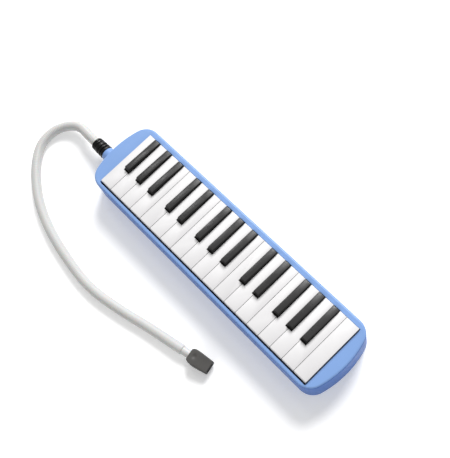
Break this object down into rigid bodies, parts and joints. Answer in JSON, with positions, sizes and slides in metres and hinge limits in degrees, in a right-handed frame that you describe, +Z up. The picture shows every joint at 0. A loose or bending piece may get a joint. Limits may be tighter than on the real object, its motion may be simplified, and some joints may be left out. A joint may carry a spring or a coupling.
{
  "type": "melodica",
  "caption": "Free-reed keyboard wind instrument: a long blue case with rocking piano-style keys, a sealed reed chamber, and a flexible hose with a wedge mouthpiece on one end.",
  "frame": {"origin": "on the surface that the melodica stands on, under the middle of the instrument without its hose", "axes": "+X along the keyboard from the low notes and hose end to the high notes, +Y from the player's side to the back of the keys, +Z up out of the key tops"},
  "size_m": [0.5117, 0.2008, 0.0485],
  "materials": {
    "case_blue": "glossy moulded ABS, sky blue",
    "key_white": "smooth off-white moulded plastic",
    "key_black": "satin charcoal moulded plastic",
    "inner_plastic": "plain moulded plastic",
    "steel": "bright zinc plated steel",
    "brass": "rolled and stamped brass",
    "seal_rubber": "soft moulded rubber",
    "felt": "dense red felt",
    "strap_rubber": "ribbed flexible strap",
    "drain_plastic": "white moulded plastic",
    "connector_black": "black moulded plastic with ribs",
    "hose_plastic": "flexible grey-white corrugated plastic",
    "mouthpiece_grey": "dark grey soft-touch plastic"
  },
  "bodies": {
    "casing": {"top_case": "case_blue", "bottom_cover": "case_blue", "case_screws": "steel", "hand_strap": "strap_rubber", "strap_screws": "steel", "wind_board": "inner_plastic", "board_screws": "steel", "pivot_rod": "steel", "stop_felts": "felt", "spring_comb": "steel", "spring_screws": "steel", "reed_plate_low": "brass", "reed_plate_high": "brass", "reed_tongues": "brass", "reed_rivets": "brass", "reed_plate_screws": "steel", "chamber_cover": "inner_plastic", "chamber_gasket": "seal_rubber", "chamber_screws": "steel", "air_inlet": "case_blue", "inlet_seal": "seal_rubber", "drain_spring": "steel"},
    "hose_assembly": {"hose_connector": "connector_black", "hose": "hose_plastic", "mouthpiece": "mouthpiece_grey"},
    "drain_valve": {"drain_button": "drain_plastic", "drain_seal": "seal_rubber", "drain_clip": "steel"},
    "white_key_01": {"white_key_01": "key_white"},
    "white_key_02": {"white_key_02": "key_white"},
    "white_key_03": {"white_key_03": "key_white"},
    "white_key_04": {"white_key_04": "key_white"},
    "white_key_05": {"white_key_05": "key_white"},
    "white_key_06": {"white_key_06": "key_white"},
    "white_key_07": {"white_key_07": "key_white"},
    "white_key_08": {"white_key_08": "key_white"},
    "white_key_09": {"white_key_09": "key_white"},
    "white_key_10": {"white_key_10": "key_white"},
    "white_key_11": {"white_key_11": "key_white"},
    "white_key_12": {"white_key_12": "key_white"},
    "white_key_13": {"white_key_13": "key_white"},
    "white_key_14": {"white_key_14": "key_white"},
    "white_key_15": {"white_key_15": "key_white"},
    "white_key_16": {"white_key_16": "key_white"},
    "white_key_17": {"white_key_17": "key_white"},
    "white_key_18": {"white_key_18": "key_white"},
    "white_key_19": {"white_key_19": "key_white"},
    "black_key_01": {"black_key_01": "key_black"},
    "black_key_02": {"black_key_02": "key_black"},
    "black_key_03": {"black_key_03": "key_black"},
    "black_key_04": {"black_key_04": "key_black"},
    "black_key_05": {"black_key_05": "key_black"},
    "black_key_06": {"black_key_06": "key_black"},
    "black_key_07": {"black_key_07": "key_black"},
    "black_key_08": {"black_key_08": "key_black"},
    "black_key_09": {"black_key_09": "key_black"},
    "black_key_10": {"black_key_10": "key_black"},
    "black_key_11": {"black_key_11": "key_black"},
    "black_key_12": {"black_key_12": "key_black"},
    "black_key_13": {"black_key_13": "key_black"}
  },
  "joints": [
    {"name": "hose_pull", "type": "slide", "parent": "casing", "child": "hose_assembly", "axis": [-1, 0, 0], "range_m": [0, 0.03]},
    {"name": "drain_press", "type": "slide", "parent": "casing", "child": "drain_valve", "axis": [0, 0, 1], "range_m": [0, 0.0025], "stiffness_N_per_m": 300, "springref_m": -0.003, "deforming": ["drain_spring"]},
    {"name": "white_key_01_press", "type": "hinge", "parent": "casing", "child": "white_key_01", "pos_m": [0, 0.012, 0.0305], "axis": [1, 0, 0], "range_deg": [0, 4], "stiffness_Nm_per_rad": 0.2, "springref_deg": -8.59, "deforming": ["spring_comb"]},
    {"name": "white_key_02_press", "type": "hinge", "parent": "casing", "child": "white_key_02", "pos_m": [0, 0.012, 0.0305], "axis": [1, 0, 0], "range_deg": [0, 4], "stiffness_Nm_per_rad": 0.2, "springref_deg": -8.59, "deforming": ["spring_comb"]},
    {"name": "white_key_03_press", "type": "hinge", "parent": "casing", "child": "white_key_03", "pos_m": [0, 0.012, 0.0305], "axis": [1, 0, 0], "range_deg": [0, 4], "stiffness_Nm_per_rad": 0.2, "springref_deg": -8.59, "deforming": ["spring_comb"]},
    {"name": "white_key_04_press", "type": "hinge", "parent": "casing", "child": "white_key_04", "pos_m": [0, 0.012, 0.0305], "axis": [1, 0, 0], "range_deg": [0, 4], "stiffness_Nm_per_rad": 0.2, "springref_deg": -8.59, "deforming": ["spring_comb"]},
    {"name": "white_key_05_press", "type": "hinge", "parent": "casing", "child": "white_key_05", "pos_m": [0, 0.012, 0.0305], "axis": [1, 0, 0], "range_deg": [0, 4], "stiffness_Nm_per_rad": 0.2, "springref_deg": -8.59, "deforming": ["spring_comb"]},
    {"name": "white_key_06_press", "type": "hinge", "parent": "casing", "child": "white_key_06", "pos_m": [0, 0.012, 0.0305], "axis": [1, 0, 0], "range_deg": [0, 4], "stiffness_Nm_per_rad": 0.2, "springref_deg": -8.59, "deforming": ["spring_comb"]},
    {"name": "white_key_07_press", "type": "hinge", "parent": "casing", "child": "white_key_07", "pos_m": [0, 0.012, 0.0305], "axis": [1, 0, 0], "range_deg": [0, 4], "stiffness_Nm_per_rad": 0.2, "springref_deg": -8.59, "deforming": ["spring_comb"]},
    {"name": "white_key_08_press", "type": "hinge", "parent": "casing", "child": "white_key_08", "pos_m": [0, 0.012, 0.0305], "axis": [1, 0, 0], "range_deg": [0, 4], "stiffness_Nm_per_rad": 0.2, "springref_deg": -8.59, "deforming": ["spring_comb"]},
    {"name": "white_key_09_press", "type": "hinge", "parent": "casing", "child": "white_key_09", "pos_m": [0, 0.012, 0.0305], "axis": [1, 0, 0], "range_deg": [0, 4], "stiffness_Nm_per_rad": 0.2, "springref_deg": -8.59, "deforming": ["spring_comb"]},
    {"name": "white_key_10_press", "type": "hinge", "parent": "casing", "child": "white_key_10", "pos_m": [0, 0.012, 0.0305], "axis": [1, 0, 0], "range_deg": [0, 4], "stiffness_Nm_per_rad": 0.2, "springref_deg": -8.59, "deforming": ["spring_comb"]},
    {"name": "white_key_11_press", "type": "hinge", "parent": "casing", "child": "white_key_11", "pos_m": [0, 0.012, 0.0305], "axis": [1, 0, 0], "range_deg": [0, 4], "stiffness_Nm_per_rad": 0.2, "springref_deg": -8.59, "deforming": ["spring_comb"]},
    {"name": "white_key_12_press", "type": "hinge", "parent": "casing", "child": "white_key_12", "pos_m": [0, 0.012, 0.0305], "axis": [1, 0, 0], "range_deg": [0, 4], "stiffness_Nm_per_rad": 0.2, "springref_deg": -8.59, "deforming": ["spring_comb"]},
    {"name": "white_key_13_press", "type": "hinge", "parent": "casing", "child": "white_key_13", "pos_m": [0, 0.012, 0.0305], "axis": [1, 0, 0], "range_deg": [0, 4], "stiffness_Nm_per_rad": 0.2, "springref_deg": -8.59, "deforming": ["spring_comb"]},
    {"name": "white_key_14_press", "type": "hinge", "parent": "casing", "child": "white_key_14", "pos_m": [0, 0.012, 0.0305], "axis": [1, 0, 0], "range_deg": [0, 4], "stiffness_Nm_per_rad": 0.2, "springref_deg": -8.59, "deforming": ["spring_comb"]},
    {"name": "white_key_15_press", "type": "hinge", "parent": "casing", "child": "white_key_15", "pos_m": [0, 0.012, 0.0305], "axis": [1, 0, 0], "range_deg": [0, 4], "stiffness_Nm_per_rad": 0.2, "springref_deg": -8.59, "deforming": ["spring_comb"]},
    {"name": "white_key_16_press", "type": "hinge", "parent": "casing", "child": "white_key_16", "pos_m": [0, 0.012, 0.0305], "axis": [1, 0, 0], "range_deg": [0, 4], "stiffness_Nm_per_rad": 0.2, "springref_deg": -8.59, "deforming": ["spring_comb"]},
    {"name": "white_key_17_press", "type": "hinge", "parent": "casing", "child": "white_key_17", "pos_m": [0, 0.012, 0.0305], "axis": [1, 0, 0], "range_deg": [0, 4], "stiffness_Nm_per_rad": 0.2, "springref_deg": -8.59, "deforming": ["spring_comb"]},
    {"name": "white_key_18_press", "type": "hinge", "parent": "casing", "child": "white_key_18", "pos_m": [0, 0.012, 0.0305], "axis": [1, 0, 0], "range_deg": [0, 4], "stiffness_Nm_per_rad": 0.2, "springref_deg": -8.59, "deforming": ["spring_comb"]},
    {"name": "white_key_19_press", "type": "hinge", "parent": "casing", "child": "white_key_19", "pos_m": [0, 0.012, 0.0305], "axis": [1, 0, 0], "range_deg": [0, 4], "stiffness_Nm_per_rad": 0.2, "springref_deg": -8.59, "deforming": ["spring_comb"]},
    {"name": "black_key_01_press", "type": "hinge", "parent": "casing", "child": "black_key_01", "pos_m": [0, 0.012, 0.0305], "axis": [1, 0, 0], "range_deg": [0, 5], "stiffness_Nm_per_rad": 0.2, "springref_deg": -8.59, "deforming": ["spring_comb"]},
    {"name": "black_key_02_press", "type": "hinge", "parent": "casing", "child": "black_key_02", "pos_m": [0, 0.012, 0.0305], "axis": [1, 0, 0], "range_deg": [0, 5], "stiffness_Nm_per_rad": 0.2, "springref_deg": -8.59, "deforming": ["spring_comb"]},
    {"name": "black_key_03_press", "type": "hinge", "parent": "casing", "child": "black_key_03", "pos_m": [0, 0.012, 0.0305], "axis": [1, 0, 0], "range_deg": [0, 5], "stiffness_Nm_per_rad": 0.2, "springref_deg": -8.59, "deforming": ["spring_comb"]},
    {"name": "black_key_04_press", "type": "hinge", "parent": "casing", "child": "black_key_04", "pos_m": [0, 0.012, 0.0305], "axis": [1, 0, 0], "range_deg": [0, 5], "stiffness_Nm_per_rad": 0.2, "springref_deg": -8.59, "deforming": ["spring_comb"]},
    {"name": "black_key_05_press", "type": "hinge", "parent": "casing", "child": "black_key_05", "pos_m": [0, 0.012, 0.0305], "axis": [1, 0, 0], "range_deg": [0, 5], "stiffness_Nm_per_rad": 0.2, "springref_deg": -8.59, "deforming": ["spring_comb"]},
    {"name": "black_key_06_press", "type": "hinge", "parent": "casing", "child": "black_key_06", "pos_m": [0, 0.012, 0.0305], "axis": [1, 0, 0], "range_deg": [0, 5], "stiffness_Nm_per_rad": 0.2, "springref_deg": -8.59, "deforming": ["spring_comb"]},
    {"name": "black_key_07_press", "type": "hinge", "parent": "casing", "child": "black_key_07", "pos_m": [0, 0.012, 0.0305], "axis": [1, 0, 0], "range_deg": [0, 5], "stiffness_Nm_per_rad": 0.2, "springref_deg": -8.59, "deforming": ["spring_comb"]},
    {"name": "black_key_08_press", "type": "hinge", "parent": "casing", "child": "black_key_08", "pos_m": [0, 0.012, 0.0305], "axis": [1, 0, 0], "range_deg": [0, 5], "stiffness_Nm_per_rad": 0.2, "springref_deg": -8.59, "deforming": ["spring_comb"]},
    {"name": "black_key_09_press", "type": "hinge", "parent": "casing", "child": "black_key_09", "pos_m": [0, 0.012, 0.0305], "axis": [1, 0, 0], "range_deg": [0, 5], "stiffness_Nm_per_rad": 0.2, "springref_deg": -8.59, "deforming": ["spring_comb"]},
    {"name": "black_key_10_press", "type": "hinge", "parent": "casing", "child": "black_key_10", "pos_m": [0, 0.012, 0.0305], "axis": [1, 0, 0], "range_deg": [0, 5], "stiffness_Nm_per_rad": 0.2, "springref_deg": -8.59, "deforming": ["spring_comb"]},
    {"name": "black_key_11_press", "type": "hinge", "parent": "casing", "child": "black_key_11", "pos_m": [0, 0.012, 0.0305], "axis": [1, 0, 0], "range_deg": [0, 5], "stiffness_Nm_per_rad": 0.2, "springref_deg": -8.59, "deforming": ["spring_comb"]},
    {"name": "black_key_12_press", "type": "hinge", "parent": "casing", "child": "black_key_12", "pos_m": [0, 0.012, 0.0305], "axis": [1, 0, 0], "range_deg": [0, 5], "stiffness_Nm_per_rad": 0.2, "springref_deg": -8.59, "deforming": ["spring_comb"]},
    {"name": "black_key_13_press", "type": "hinge", "parent": "casing", "child": "black_key_13", "pos_m": [0, 0.012, 0.0305], "axis": [1, 0, 0], "range_deg": [0, 5], "stiffness_Nm_per_rad": 0.2, "springref_deg": -8.59, "deforming": ["spring_comb"]}
  ]
}
